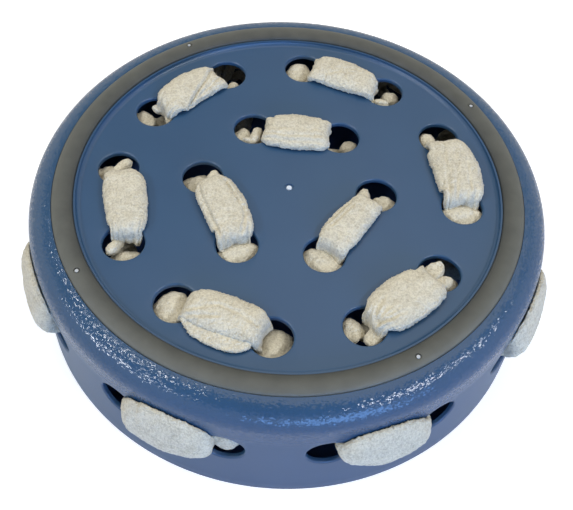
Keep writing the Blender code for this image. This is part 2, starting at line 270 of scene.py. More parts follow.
def makeRingRubber():
    r = rubber
    material, tree, shader = newMaterial("grey thermoplastic rubber, moulded")
    place, radius = placeAndRadius(tree)
    # painted light and shade: lighter towards the outer side, darker on the inner side, as light falls on the
    # bead
    paintedLightOutwards = addNode(tree, "ShaderNodeMapRange", {
        "Value": radius, "From Min": ringInner, "From Max": ringOuter,
        "To Min": r["innerPaintedShade"], "To Max": r["outerPaintedLight"],
    })
    cloud = addNode(tree, "ShaderNodeTexNoise", {"Vector": place, "Scale": 1 / r["cloud"], "Detail": 4})
    paleAndLit = addNode(tree, "ShaderNodeMath", {
        0: cloud.outputs["Fac"], 1: r["cloudShare"], 2: paintedLightOutwards,
    }, operation="MULTIPLY_ADD", use_clamp=True)
    colour = addNode(tree, "ShaderNodeMix", {
        "Factor": paleAndLit, mixFrom: hexColour(r["body"]), mixTo: hexColour(r["paleAndLit"]),
    }, data_type="RGBA")
    reach = ringInner + ring["nubAcross"] * ring["width"]
    nearest = 1.0      # metres, further than any gate is
    for index in range(ring["nubCount"]):      # painted highlights: the stubs of the cut gates are pale
        angle = math.radians(ring["nubAngle"] + 360 * index / ring["nubCount"])
        spot = (reach * math.cos(angle), reach * math.sin(angle), ringTop)
        away = addNode(tree, "ShaderNodeVectorMath", {0: place, 1: spot}, operation="DISTANCE")
        nearest = addNode(tree, "ShaderNodeMath", {
            0: nearest, 1: away.outputs["Value"],
        }, operation="MINIMUM")
    gate = addNode(tree, "ShaderNodeMapRange", {
        "Value": nearest, "From Min": ring["nubRadius"], "From Max": ring["nubRadius"] * r["gateHighlightFade"],
    })
    gateHighlighted = addNode(tree, "ShaderNodeMix", {
        "Factor": gate, mixFrom: hexColour(r["gate"]), mixTo: colour.outputs[mixed],
    }, data_type="RGBA")
    grit = addNode(tree, "ShaderNodeTexNoise", {"Vector": place, "Scale": 1 / r["grit"], "Detail": 2})
    bump = addNode(tree, "ShaderNodeBump", {
        "Height": grit.outputs["Fac"], "Strength": r["gritBump"], "Distance": r["gritDepth"],
    })
    setSockets(tree, shader, {
        "Base Color": gateHighlighted.outputs[mixed], "Roughness": r["roughness"], "Normal": bump,
    })
    return material


# Polyester fleece, knitted and brushed: a short curly pile, dull all over, with painted shade between its
# curls. Its fibres are some 0.02 mm thick and would not show, so small tufts of them are drawn.

fleece = dict(
    light="#DDD6BF", dark="#ABA188", darkest=-0.05, lightest=0.65,
    loop=0.75 * mm, loopShare=-0.7, worn=7 * mm, wornShare=0.5,
    curl=1.5 * mm, curlDepth=0.6 * mm, curlBump=0.8, fibre=0.35 * mm, fibreDepth=0.25 * mm, fibreBump=0.5,
    roughness=0.95, sheen=0.25, sheenRoughness=0.5,
)


def makeFleece():
    f = fleece
    material, tree, shader = newMaterial("cream polyester fleece, brushed")
    place = addNode(tree, "ShaderNodeTexCoord").outputs["Object"]
    loop = addNode(tree, "ShaderNodeTexVoronoi", {
        "Vector": place, "Scale": 1 / f["loop"],
    }, feature="SMOOTH_F1")
    curl, fibre, worn = (
        addNode(tree, "ShaderNodeTexNoise", {"Vector": place, "Scale": 1 / f[size], "Detail": detail})
        for size, detail in (("curl", 4), ("fibre", 2), ("worn", 2))
    )
    # painted shade: darker between the loops and in the curls' hollows; the same values sink the bump there
    deep = addNode(tree, "ShaderNodeMath", {
        0: loop.outputs["Distance"], 1: f["loopShare"], 2: curl.outputs["Fac"],
    }, operation="MULTIPLY_ADD")
    shade = addNode(tree, "ShaderNodeMath", {
        0: worn.outputs["Fac"], 1: f["wornShare"], 2: deep,
    }, operation="MULTIPLY_ADD")
    factor = addNode(tree, "ShaderNodeMapRange", {
        "Value": shade, "From Min": f["darkest"], "From Max": f["lightest"],
    })
    colour = addNode(tree, "ShaderNodeMix", {
        "Factor": factor, mixFrom: hexColour(f["dark"]), mixTo: hexColour(f["light"]),
    }, data_type="RGBA")
    curlBump = addNode(tree, "ShaderNodeBump", {
        "Height": deep, "Strength": f["curlBump"], "Distance": f["curlDepth"],
    })
    fibreBump = addNode(tree, "ShaderNodeBump", {
        "Height": fibre.outputs["Fac"], "Strength": f["fibreBump"], "Distance": f["fibreDepth"],
        "Normal": curlBump,
    })
    setSockets(tree, shader, {
        "Base Color": colour.outputs[mixed], "Roughness": f["roughness"], "Normal": fibreBump,
        "Sheen Weight": f["sheen"], "Sheen Roughness": f["sheenRoughness"],
    })
    return material


bowlPlastic = makeBowlPlastic()
ringRubber = makeRingRubber()
fleeceCloth = makeFleece()


# The bowl: a turned shell, then the perforations for the strips, which Geometry Nodes cut row by row

def shellOutline():
    b = bowl
    grooveInner, grooveOuter = ringInner - b["seatGap"], ringOuter + b["seatGap"]
    grooveZ = shellTop - b["grooveDepth"]
    lipStart = grooveInner - b["innerLip"]
    shoulderStart = grooveOuter + b["outerLip"]
    shoulderWidth = shoulderRadius - shoulderStart
    ceilingZ = grooveZ - b["grooveFloor"]
    recess, mouth, inner = b["plateRecess"], b["mouthRound"], mouthRadius - b["wall"]
    plate = [(lipStart * share, plateZ) for share in b["plateRings"]]
    fillet = arc((lipStart - recess, shellTop), (recess, recess), -90, 0, b["filletSteps"])
    groove = [(grooveInner, shellTop), (grooveInner, grooveZ),
              (grooveOuter, grooveZ), (grooveOuter, shellTop)]
    shoulderSize = (shoulderWidth, b["shoulderHeight"])
    insideSize = (shoulderWidth - b["wall"], ceilingZ - shoulderZ)
    shoulder = arc((shoulderStart, shoulderZ), shoulderSize, 90, 0, b["shoulderSteps"])
    wallZs = [shoulderZ * share for share in b["wallRings"]]
    wall = [(mouthRadius - b["wallDraft"] * z / shoulderZ, z) for z in wallZs]
    rim = arc((mouthRadius - mouth, mouth), (mouth, mouth), 0, -90, b["rimSteps"])
    innerRim = arc((inner + mouth, mouth), (mouth, mouth), -90, -180, b["rimSteps"])
    innerShoulder = arc((shoulderStart, shoulderZ), insideSize, 0, 90, b["insideSteps"])
    ceiling = [(lipStart, ceilingZ), (lipStart - b["ceilingSlope"], plateZ - b["wall"])]
    middle = [(0, plateZ - b["wall"])]
    return plate + fillet + groove + shoulder + wall + rim + innerRim + innerShoulder + ceiling + middle


def holeOutline():
    # the cutter for one strip hole, with the moulding's rounded edge at the outer surface
    r, edge, over = holes["radius"], holes["round"], bowl["overrun"]
    rounded = arc((r + edge, -edge), (edge, edge), 90, 180, holes["roundSteps"])
    return [(0, over), (r + edge, over)] + rounded + [(r, -bowl["wall"] - over), (0, -bowl["wall"] - over)]


def platePlace(row, angle):
    # (along the pair, outwards, up) of a strip in the plate to the model's own axes
    c, s = math.cos(math.radians(angle)), math.sin(math.radians(angle))

    def place(p):
        p = np.asarray(p)
        reach, aside = row["radius"] + p[..., 1], p[..., 0]
        return np.stack([reach * c - aside * s, reach * s + aside * c, plateZ + p[..., 2]], -1)
    return place


def wallPlace(row, angle):
    # (along the wall, up, out of the wall) of a strip in the wall to the model's own axes
    def place(p):
        p = np.asarray(p)
        around = math.radians(angle) + p[..., 0] / row["radius"]
        reach = row["radius"] + p[..., 2]
        return np.stack([reach * np.cos(around), reach * np.sin(around), wallHoleZ + p[..., 1]], -1)
    return place


outerRow["place"] = innerRow["place"] = platePlace
wallRow["place"] = wallPlace


def pairCutter(row):
    # both holes of a pair, as they stand at angle zero
    place, both = row["place"](row, 0), bmesh.new()
    for side in (-1, 1):
        one = spun(holeOutline(), holes["sides"])
        for vert in one.verts:
            vert.co = place((vert.co.x + side * row["spacing"] / 2, vert.co.y, vert.co.z))
        part = bpy.data.meshes.new("holeCutter")
        one.to_mesh(part)
        one.free()
        both.from_mesh(part)
        bpy.data.meshes.remove(part)
    bmesh.ops.recalc_face_normals(both, faces=both.faces)
    return linked(row["name"] + "Cutter", meshFrom(both, row["name"] + "Cutter"))


def perforationTree():
    tree = bpy.data.node_groups.new("perforations round an axis", "GeometryNodeTree")
    inputs = (("Geometry", "Geometry"), ("Cutter", "Object"), ("Count", "Int"), ("First Angle", "Float"),
              ("Material", "Material"))
    for name, kind in inputs:
        tree.interface.new_socket(name, in_out="INPUT", socket_type="NodeSocket" + kind)
    tree.interface.new_socket("Geometry", in_out="OUTPUT", socket_type="NodeSocketGeometry")
    given = addNode(tree, "NodeGroupInput").outputs
    line = addNode(tree, "GeometryNodeMeshLine", {"Count": given["Count"], "Offset": (0, 0, 0)})
    index = addNode(tree, "GeometryNodeInputIndex")
    step = addNode(tree, "ShaderNodeMath", {0: math.tau, 1: given["Count"]}, operation="DIVIDE")
    around = addNode(tree, "ShaderNodeMath", {
        0: index, 1: step, 2: given["First Angle"],
    }, operation="MULTIPLY_ADD")
    turned = addNode(tree, "ShaderNodeCombineXYZ", {2: around})
    cutter = addNode(tree, "GeometryNodeObjectInfo", {"Object": given["Cutter"]})
    copies = addNode(tree, "GeometryNodeInstanceOnPoints", {
        "Points": line, "Instance": cutter.outputs["Geometry"], "Rotation": turned,
    })
    real = addNode(tree, "GeometryNodeRealizeInstances", {"Geometry": copies})
    holed = addNode(tree, "GeometryNodeMeshBoolean", {
        "Mesh 1": given["Geometry"], "Mesh 2": real,
    }, operation="DIFFERENCE", solver="EXACT")
    done = addNode(tree, "GeometryNodeSetMaterial", {"Geometry": holed, "Material": given["Material"]})
    addNode(tree, "NodeGroupOutput", {"Geometry": done})
    return tree


perforations = perforationTree()


def perforate(item, cutter, count, first, material):
    # cuts the cutter's form out of the item, count times round the axis
    values = {"Cutter": cutter, "Count": count, "First Angle": math.radians(first), "Material": material}
    modifier = item.modifiers.new(cutter.name, "NODES")
    modifier.node_group = perforations
    for socket in perforations.interface.items_tree:
        if socket.item_type == "SOCKET" and socket.in_out == "INPUT" and socket.name in values:
            modifier[socket.identifier] = values[socket.name]


def hollowOutline(stub, hollow, top, deep):
    # the cutter for the hollow round the stub of a cut gate
    over = bowl["overrun"]
    return [(stub, top + over), (hollow, top + over), (hollow, top - deep), (stub, top - deep)]


def makeBowl():
    shell = linked("bowlShell", meshFrom(spun(shellOutline(), bowl["segments"]), "bowlShell"))
    hollow = hollowOutline(holes["gatePin"], holes["gateRadius"], plateZ, holes["gateDepth"])
    gate = linked("gateCutter", meshFrom(spun(hollow, holes["gateSides"]), "gateCutter"))
    cuts = [(pairCutter(row), row["count"], row["first"]) for row in stripRows] + [(gate, 1, 0)]
    for cutter, count, first in cuts:
        perforate(shell, cutter, count, first, bowlPlastic)
    mesh = cutMesh(shell, [cut[0] for cut in cuts], bowl["sharpAngle"])
    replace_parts(newPiece("bowlShell", mesh, bowlPlastic), "bowl_shell")
    print("bowl:", len(mesh.polygons), "faces")


# The foot ring: a soft moulded bead in its groove, with the stubs of four cut gates, each in its own hollow

def ringOutline():
    low = shellTop - bowl["grooveDepth"] + bowl["seatGap"]
    high, w, crest = ringTop - low, ring["width"], ring["crest"]
    start, end = ring["innerSide"], ring["outerSide"]      # where the rounding starts on each side
    left = arc((ringInner + crest * w, low + start * high), (crest * w, (1 - start) * high), 180, 90,
               ring["innerSteps"])
    right = arc((ringOuter - (1 - crest) * w, low + end * high), ((1 - crest) * w, (1 - end) * high), 90, 0,
                ring["outerSteps"])
    return [(ringInner, low)] + left + right + [(ringOuter, low)]


def makeRing():
    bead = linked("footRing", meshFrom(spun(ringOutline(), ring["segments"]), "footRing"))
    hollow = hollowOutline(ring["nubRadius"], ring["nubHollow"], ringTop, ring["nubDepth"])
    bm = spun(hollow, ring["nubSides"])
    bmesh.ops.translate(bm, verts=bm.verts, vec=(ringInner + ring["width"] * ring["nubAcross"], 0, 0))
    cutter = linked("nubCutter", meshFrom(bm, "nubCutter"))
    perforate(bead, cutter, ring["nubCount"], ring["nubAngle"], ringRubber)
    mesh = cutMesh(bead, [cutter], ring["sharpAngle"])
    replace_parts(newPiece("footRing", mesh, ringRubber), "foot_ring")
    print("foot ring:", len(mesh.polygons), "faces")


makeBowl()
makeRing()


# Fleece strips: each is one folded strip, from a tail up through its hole, over the surface and back

strip = dict(
    gap=0.4 * mm, rimGap=0.4 * mm, wallLean=0.42, legThick=(3.4 * mm, 6.2 * mm),
    bandSquare=2.5, plateBelly=0.24, wallBelly=0.12,
    knotHalf=14 * mm, knotRadius=4.8 * mm, knotDepth=10.8 * mm, knotTurns=1.5, knotSteps=9,
    strandWidth=6.6 * mm, strandThick=5.4 * mm,
    loopArch=((-10, 0.72), (40, 0.95), (90, 1), (140, 0.95), (190, 0.75)),      # degrees, share of the width
    tailWidth=19 * mm, tailThick=4.6 * mm, tailSpread=8 * mm, tailEnd=18 * mm, tailSquare=2.4, tailSteps=4,
    fine=0.55 * mm, coarse=2.4 * mm, around=112, groove=0.75 * mm,
    pile=0.11 * mm, curl=0.8 * mm, tuft=1.8 * mm, tuftRise=0.3 * mm, fray=0.8 * mm,
    crumple=0.6 * mm, crumpleSize=4.5 * mm, bitBelly=0.4, bitCrumple=0.4,
    cutWidth=25 * mm, cutLength=250 * mm,
)

# Millimetres along the pair of holes and outwards, or up on the wall. A band's outline has its place along
# and its inner and outer edges, from the less end to the more end. It turns down at the first and last place.
# Folds are lines over it: their points, how deep they start and end, and how far the cloth steps down past
# them. Less and more are the tops of the tails that show in the holes at those ends: away from the band,
# outwards, top, width, arch, thickness. Bits are rolled ends of cloth: "band" or the hole's end, their
# points, width and thickness.
plainBand = dict(height=6.4, pleatCount=9, folds=[])
strips = {
    "outer_strip_1": dict(
        outline=[(-23, -9.4, 10.2), (-14, -10, 14), (-1, -10, 15.8), (10, -10.3, 14.2), (20, -9, 10.5)],
        pleats=(1.5, 0.3),
        folds=[([(11, 4.7), (-10, 0.1), (-21, -3)], 0.3, 0.7, 0), ([(3, 9), (-18, 5.7)], 0.3, 0.6, 0),
               ([(12, -1.4), (-6, -4.4), (-18, -6)], 0.3, 0.5, 0)],
        less=(3, -1, -0.8, 24, 5, 8), more=(3, -5.5, -2, 8, 3, 6),
        bits=[("more", [(-4, -6, -5), (2, -3, -3.5)], 5, 4)]),
    "outer_strip_2": dict(
        outline=[(-20, -11.2, 4), (-10, -10.2, 9.7), (0, -10.2, 12), (10, -9.6, 12.3), (19, -11, 8)],
        pleats=(0.3, 0.2),
        folds=[([(9, -4.5), (0, 0.5), (-5, 0.8)], 0.2, 0.55, 0), ([(5, 1), (-4, 3.6)], 0.35, 0.35, 0)],
        less=(3.5, 4.5, -6, 10, 3, 6), more=(3.4, -0.5, -2.6, 20, 5, 8),
        bits=[("less", [(-3, -6.5, -4), (4.5, -7.4, -2)], 3.4, 3)]),
    "outer_strip_3": dict(
        outline=[(-19, -10.6, 7.4), (-10, -9.6, 11.8), (0, -9.8, 13), (11, -11.6, 10.8), (21, -11.2, 4.6)],
        pleats=(0.2, 0.8),
        folds=[([(-16.9, 4.3), (-9.6, -0.7), (-3, -4), (4.5, -8.5), (10, -12)], 0.7, 0.9, 1.3),
               ([(-17, -4), (-8, -6.4), (0, -8.6)], 0.5, 0.4, 0)],
        less=(-1, -8, -1.6, 7, 2.5, 4), more=(5, 5.5, -5.4, 13, 3, 6),
        bits=[("more", [(-6, 2, -5), (-2.5, 5.5, -3.4)], 5, 4)]),
    "outer_strip_4": dict(
        outline=[(-21, -9, 7.6), (-11, -13.4, 8.8), (0, -14, 8.4), (12, -12.9, 7.4), (21.5, -9.8, 6.2)],
        height=6.2, pleats=(0.2, 1), pleatCount=14,
        less=(3.6, 6.5, -5, 12, 3, 6), more=(5, 0, -6.4, 18, 4, 6),
        bits=[("less", [(-5.5, 7.5, -4), (0, 1, -2), (5, -6, -1.4)], 4.8, 4),
              ("more", [(-3, 3.5, -5), (3.6, 7.4, -2.4)], 5, 4)]),
    "outer_strip_5": dict(
        outline=[(-19.5, -7.8, 8), (-10, -11.7, 9.6), (1, -12.2, 9.6), (12, -11.4, 9.2), (21, -9, 8.8)],
        height=6.8, pleats=(0.2, 0.2),
        folds=[([(-16, 4), (-9, -0.3), (-3, -3.4), (8, -2.6), (18, 0)], 0.5, 0.7, 0),
               ([(-16, 7), (-9, 5), (-1, 2.6)], 0.4, 0.5, 0)],
        less=(2, 1.2, -1.8, 22, 6, 10), more=(2, 1, -6.2, 25, 6, 10),
        bits=[("band", [(-17, 5.5, 1.7), (-9, 8.8, 1.7), (2, 10.6, 1.7), (11, 10, 1.7), (17.5, 7, 1.5)],
               11, 2.8)]),
    "outer_strip_6": dict(
        outline=[(-21.5, -6.6, 9.6), (-12, -10.6, 13.6), (0, -11.7, 14.6), (10, -10.1, 14.2), (19, -6.9, 11)],
        height=6.8, pleats=(0.7, 0.2), pleatCount=11,
        folds=[([(-21, 2.9), (-15, 2), (-7, 1.6)], 1.4, 0.1, 0),
               ([(-21, 1.5), (-16, -1.8), (-8, -5)], 1.2, 0.1, 0),
               ([(-21, 4.7), (-16, 6.8), (-7, 8)], 1.2, 0.1, 0),
               ([(-21, 3.6), (-14, 4.6), (-8, 5)], 0.8, 0.1, 0)],
        less=(4.6, -5, -3.4, 14, 4, 7), more=(4, 4.5, -8.5, 13, 4, 7),
        bits=[("more", [(-7, -2, -3), (3.2, -3.4, -0.8)], 8, 6),
              ("more", [(-6, 4, -4), (1.5, 5.6, -2.2)], 7, 5),
              ("less", [(-5, 5, -7), (2, 6.5, -4.6)], 9, 6)]),
    "inner_strip_1": dict(
        outline=[(-17.5, -12, 8.8), (-9, -12.9, 10.3), (0, -13.7, 11), (9, -13.4, 9.7), (17, -11.4, 5.5)],
        pleats=(0.2, 0.2),
        folds=[([(16, -3.2), (4, -3), (-14, -1.3)], 0.3, 0.3, 0),
               ([(16, -7), (3, -7.8), (-14, -5.6)], 0.35, 0.35, 0),
               ([(16, -9.6), (3, -11.2), (-15, -9.6)], 0.4, 0.4, 0)],
        less=(6.2, 1.6, -7.6, 10, 3, 5), more=(6.6, -1, -5, 14, 3, 6),
        bits=[("more", [(-2, 6, -8), (-1.6, 0, -4), (-1.2, -7.4, -2.2)], 5, 4),
              ("more", [(-1, -7.4, -4), (5, -8, -2)], 3.4, 3)]),
    "inner_strip_2": dict(
        outline=[(-20.5, -9.8, 5.6), (-10, -13.4, 8.8), (0, -14.4, 9), (13, -12.8, 9.2), (22.5, -8.6, 9.4)],
        height=6.6, pleats=(0.2, 1.3),
        folds=[([(-13, -8.8), (-6, -9.4), (4, -10)], 1.3, 0.5, 0.5),
               ([(-15, 6), (-8, 7), (2, 7.2), (18, 7)], 0.5, 0.7, 0.3),
               ([(6, -11), (15, -8.4), (21, -4)], 0.4, 0.9, 0)],
        less=(2, 2.6, -6, 22, 5, 9), more=(3, 1.5, -1.4, 24, 4.5, 8),
        bits=[("less", [(-6, -5, -5), (0.5, -6.5, -2)], 8, 5)]),
    "inner_strip_3": dict(
        outline=[(-20.5, -7.8, 9.6), (-10, -9.6, 9.8), (0, -9.4, 9.3), (8, -8.4, 9.1), (17.5, -7.4, 8.4)],
        pleats=(0.3, 0.2),
        folds=[([(-11, -5.3), (7, -3.8)], 0.6, 0.6, 0), ([(-10, -8), (8, -6.2)], 0.7, 0.7, 0.3)],
        less=(2.2, 0.6, -2, 24, 5, 9), more=(2, 5, -4.4, 14, 4, 7),
        bits=[("more", [(-6, -5, -6), (-0.5, -7, -2.8)], 7, 5)]),
}
hiddenTail = (5, 0, -14, 12, 4, 6)
wallBand = dict(height=7.4, pleats=(0.3, 0.3), pleatCount=8, bits=[])
wallStrips = {
    "wall_strip_6": dict(
        wallBand,
        outline=[(-23, -2, 12), (-13, -10.5, 18), (0, -12, 19.6), (12, -9, 18.4), (24, -3, 12.5)],
        folds=[([(-16, 7), (0, 3), (16, 4)], 0.4, 0.4, 0)],
        less=hiddenTail, more=(0.6, 1.4, -0.4, 18, 5, 9)),
    "wall_strip_7": dict(
        wallBand,
        outline=[(-24.5, 2, 12), (-13, -6, 16.4), (-1, -12.4, 17.4), (11, -10, 15.4), (22, -3, 8.6)],
        folds=[([(-12, 4), (4, -1), (16, 2)], 0.35, 0.35, 0)],
        less=hiddenTail, more=hiddenTail),
}
otherWallStrip = dict(      # one plain shape for those at the sides and the back
    wallBand,
    outline=[(-23.5, -4, 12.5), (-12, -11, 20.2), (0, -13, 21.4), (12, -11, 20.2), (23.5, -4, 12.5)],
    folds=[([(-14, 4), (0, 0), (14, 3)], 0.4, 0.4, 0)],
    less=hiddenTail, more=hiddenTail)


def holePlace(row, spot, end):
    # (away from the band, outwards, height) at the hole of that end, as a place along, across and up
    if end == "band":
        return Vector(spot) * mm
    side = 1 if end == "more" else -1
    return Vector((side * (row["spacing"] / 2 + spot[0] * mm), spot[1] * mm, spot[2] * mm))


def halfStrip(row, band, end, onWall):
    # stations from beside the band's middle to the tail's end, drawn for the more end and turned for the
    # less one: place, width, thickness, squareness, height of the widest line, share of the hole's curve and
    # way across
    s, half = strip, row["spacing"] / 2
    rim = half - holes["radius"]
    outline = band["outline"][2:]
    if end < 0:
        outline = [(-x, -outer, -inner) for x, inner, outer in band["outline"][2::-1]]
    outline = [[value * mm for value in point] for point in outline]
    turnX, inner, outer = outline[2]
    # half the hole's width where the band turns down
    chord = math.sqrt((holes["radius"] - s["rimGap"]) ** 2 - (half - turnX) ** 2)
    legWidth = min(outer - inner, 2 * chord)
    aside = min(max((inner + outer) / 2, legWidth / 2 - chord), chord - legWidth / 2)
    legThick = min(max(turnX - rim - s["rimGap"], s["legThick"][0]), s["legThick"][1])
    leg = turnX - legThick / 2
    tall, depth, over = band["height"] * mm, -s["knotDepth"], Vector((0, 1, 0))
    low = s["wallBelly" if onWall else "plateBelly"]
    stations = []

    def add(x, y, z, width, thick, square=2.0, belly=0.5, curve=1.0, across=over):
        stations.append((Vector((x, y, z)), width, thick, square, belly, curve, across))

    def addOver(share, tallness, curve=0.0):
        # a place on the arched band; share runs from its middle, over its second place, to where it turns
        a, b, t = (outline[0], outline[1], share) if share <= 1 else (outline[1], outline[2], share - 1)
        inner, outer = mix(a[1], b[1], t), mix(a[2], b[2], t)
        x, high = min(mix(a[0], b[0], t), leg - 1.5 * mm), tall * tallness
        add(x, (inner + outer) / 2, s["gap"] + high / 2, outer - inner, high, s["bandSquare"], low, curve)

    # the share of the way, the share of the height, and how far it follows the hole's curve
    addOver(0.5, 0.99)
    addOver(1.0, 0.95)
    addOver(1.5, 0.9, 0.1)
    # it turns down over the hole's edge, and its leg narrows in the hole towards the knot
    add(leg + 0.2 * mm, mix((inner + outer) / 2, aside, 0.5), 1.9 * mm, mix(outer - inner, legWidth, 0.4),
        mix(tall * 0.9, legThick, 0.5), s["bandSquare"], 0.35, 0.25)
    add(leg, aside, -1.8 * mm, legWidth, legThick, s["bandSquare"], curve=0.6)
    add(leg, aside * 0.8, -5.2 * mm, legWidth * 0.84, legThick, 2.3, curve=0.8)
    add(leg - 2.2 * mm, 0, depth + s["knotRadius"] + 0.4 * mm, (legWidth * 0.8 + s["strandWidth"]) / 2,
        s["strandThick"], curve=0)
    # the half knot winds round the other strand, under the band
    for step in range(s["knotSteps"] + 1):
        share = step / s["knotSteps"]
        angle = math.pi / 2 + math.tau * s["knotTurns"] * share
        out = Vector((0, math.cos(angle), math.sin(angle)))
        place = Vector((s["knotHalf"] * (1 - 2 * share), 0, depth)) + out * s["knotRadius"]
        pitch = 2 * s["knotHalf"] / (math.tau * s["knotTurns"] * s["knotRadius"])
        heading = Vector((-pitch, -math.sin(angle), math.cos(angle))).normalized()
        add(*place, s["strandWidth"], s["strandThick"], curve=0, across=heading.cross(out))
    # the tail passes under the band to the other hole, arches up in it and hangs down
    away, out, top, loopWide, arch, loopThick = [value * mm for value in band["less" if end > 0 else "more"]]
    foot, out = top - loopThick / 2 - arch, out * end
    add(-s["knotHalf"] - 5 * mm, out * 0.4, min(depth - s["knotRadius"], foot - 3 * mm),
        (s["strandWidth"] + loopWide) / 2, s["strandThick"], curve=0, across=-over)
    for degrees, share in s["loopArch"]:
        angle = math.radians(degrees)
        add(-half - away + arch * math.cos(angle), out, foot + arch * math.sin(angle), loopWide * share,
            loopThick, curve=0, across=-over)
    tailX, tail = -half - s["tailSpread"], (s["tailWidth"], s["tailThick"], s["tailSquare"], 0.5, 0)
    drop = (wallHoleZ if onWall else plateZ) - s["tailEnd"]
    for step in range(1, s["tailSteps"] + 1):
        share = step / s["tailSteps"]
        if onWall:       # down along the wall's inside
            add(tailX, -drop * share * end, foot - 6 * mm, *tail, Vector((-end, 0, 0)))
        else:
            add(tailX, out * (1 - share), mix(foot - 5 * mm, -drop, share), *tail, -over)
    return stations


def wholeStrip(row, band, onWall):
    first = halfStrip(row, band, 1, onWall)
    other = [
        (Vector((-p.x, -p.y, p.z)), w, t, n, b, c, Vector((a.x, a.y, -a.z)))
        for p, w, t, n, b, c, a in reversed(halfStrip(row, band, -1, onWall))
    ]
    x, inner, outer = [value * mm for value in band["outline"][2]]
    tall, low = band["height"] * mm, strip["wallBelly" if onWall else "plateBelly"]
    centre = Vector((x, (inner + outer) / 2, strip["gap"] + tall / 2))
    middle = (centre, outer - inner, tall, strip["bandSquare"], low, 0, Vector((0, 1, 0)))
    return other + [middle] + first


def unit(vectors):      # each at length 1
    return vectors / np.maximum(np.linalg.norm(vectors, axis=-1, keepdims=True), 1e-12)


def throughStations(stations, shown):
    # a smooth run through the stations, with short steps where they are shown and longer ones elsewhere
    rows = np.array([[*p, w, t, n, b, c, *a] for p, w, t, n, b, c, a in stations])
    chord = np.concatenate([[0], np.cumsum(np.linalg.norm(np.diff(rows[:, :3], axis=0), axis=1))])
    slopes = np.gradient(rows, chord, axis=0)
    middle = len(stations) // 2
    samples = []
    for i, (start, end) in enumerate(zip(chord, chord[1:])):
        step = strip["fine"] if shown(abs(i + 0.5 - middle)) else strip["coarse"]
        samples += list(np.linspace(start, end, max(2, round((end - start) / step)), endpoint=False))
    at = np.array(samples + [chord[-1]])
    i = np.clip(np.searchsorted(chord, at, side="right") - 1, 0, len(rows) - 2)
    length = (chord[i + 1] - chord[i])[:, None]
    t = (at - chord[i])[:, None] / length
    smooth = (
        (2 * t**3 - 3 * t**2 + 1) * rows[i] + (t**3 - 2 * t**2 + t) * length * slopes[i]
        + (3 * t**2 - 2 * t**3) * rows[i + 1] + (t**3 - t**2) * length * slopes[i + 1]
    )
    return smooth, np.abs(i + t[:, 0] - middle)


def sectioned(run, lean=0):
    # the cloth's section at each step: flatter and squarer below its widest line, curved in a hole
    centre, across = run[:, :3], run[:, 8:11]
    wide, thick, square, belly, curve = (run[:, k:k + 1] for k in range(3, 8))
    heading = unit(np.gradient(centre, axis=0))
    across = unit(across - heading * (across * heading).sum(1, keepdims=True))
    crown = np.cross(heading, across)
    turn = np.linspace(0, math.tau, strip["around"], endpoint=False)[None, :]
    above = np.sin(turn) > 0
    power = 2 / (square + np.where(above, 0, 5 * np.clip(0.5 - belly, 0, 1)))
    u = np.sign(np.cos(turn)) * np.abs(np.cos(turn)) ** power * wide / 2
    rise = np.abs(np.sin(turn)) ** power * thick
    v = np.where(above, (1 - belly) * rise, -belly * rise) + belly * thick
    v = v * (1 - lean * u / (wide / 2)) - thick / 2      # on the wall the cloth sags and is thicker below
    local = centre[:, None] + across[:, None] * u[..., None] + crown[:, None] * v[..., None]
    radius = holes["radius"] - strip["rimGap"] - thick / 2
    off = np.minimum(np.abs(local[..., 1]), 0.9 * radius)
    local[..., 0] += np.sign(centre[:, :1]) * np.clip(curve, 0, 1) * (radius - np.sqrt(radius**2 - off**2))
    return local, np.degrees(turn)


def foldedLift(band, local, degrees):
    # how far folds, the steps beside them and gathered pleats stand above or below the plain section
    x, y, z = (local[..., k] / mm for k in range(3))
    lift = np.zeros(x.shape)
    upright = np.sin(np.radians(degrees))
    crown = np.clip(upright * 3 + 0.8, 0, 1)
    groove = strip["groove"] / mm
    for points, start, end, step in band["folds"]:
        points = np.array(points, float)
        runs = np.linalg.norm(np.diff(points, axis=0), axis=1)
        nearest, side, share = np.full(x.shape, 1e9), np.ones(x.shape), np.zeros(x.shape)
        for k, run in enumerate(runs):
            dx, dy = (points[k + 1] - points[k]) / run
            t = np.clip((x - points[k][0]) * dx + (y - points[k][1]) * dy, 0, run)
            offX, offY = x - points[k][0] - t * dx, y - points[k][1] - t * dy
            far = np.hypot(offX, offY)
            closer = far < nearest
            nearest = np.where(closer, far, nearest)
            side = np.where(closer, np.sign(dx * offY - dy * offX), side)
            share = np.where(closer, (runs[:k].sum() + t) / runs.sum(), share)
        # a groove between two low banks, and past it a step that levels out over some 6 mm
        deep = mix(start, end, share)
        bank = 0.3 * np.exp(-((nearest - 2.2 * groove) / (1.2 * groove)) ** 2)
        profile = bank - np.exp(-(nearest / groove) ** 2)
        lift += mm * crown * (1.5 * deep * profile - np.where(side < 0, step * np.exp(-nearest / 6), 0))
    for end, depth in zip((-1, 1), band["pleats"]):
        # pleats gather over the last 10 mm before the cloth turns down
        turnX = abs(band["outline"][0 if end < 0 else 4][0])
        gather = np.clip((x * end - turnX + 10) / 9, 0, 1) ** 1.5 * np.clip((z + 9) / 3, 0, 1)
        gather = gather * np.clip(upright * 1.6 + 0.2, 0, 1)
        phase = degrees * band["pleatCount"] + 50 * np.sin(np.radians(degrees * 5)) + x * end * 3
        lift += np.minimum(np.cos(np.radians(phase)), 0.3) * depth * 0.6 * mm * gather
    return lift


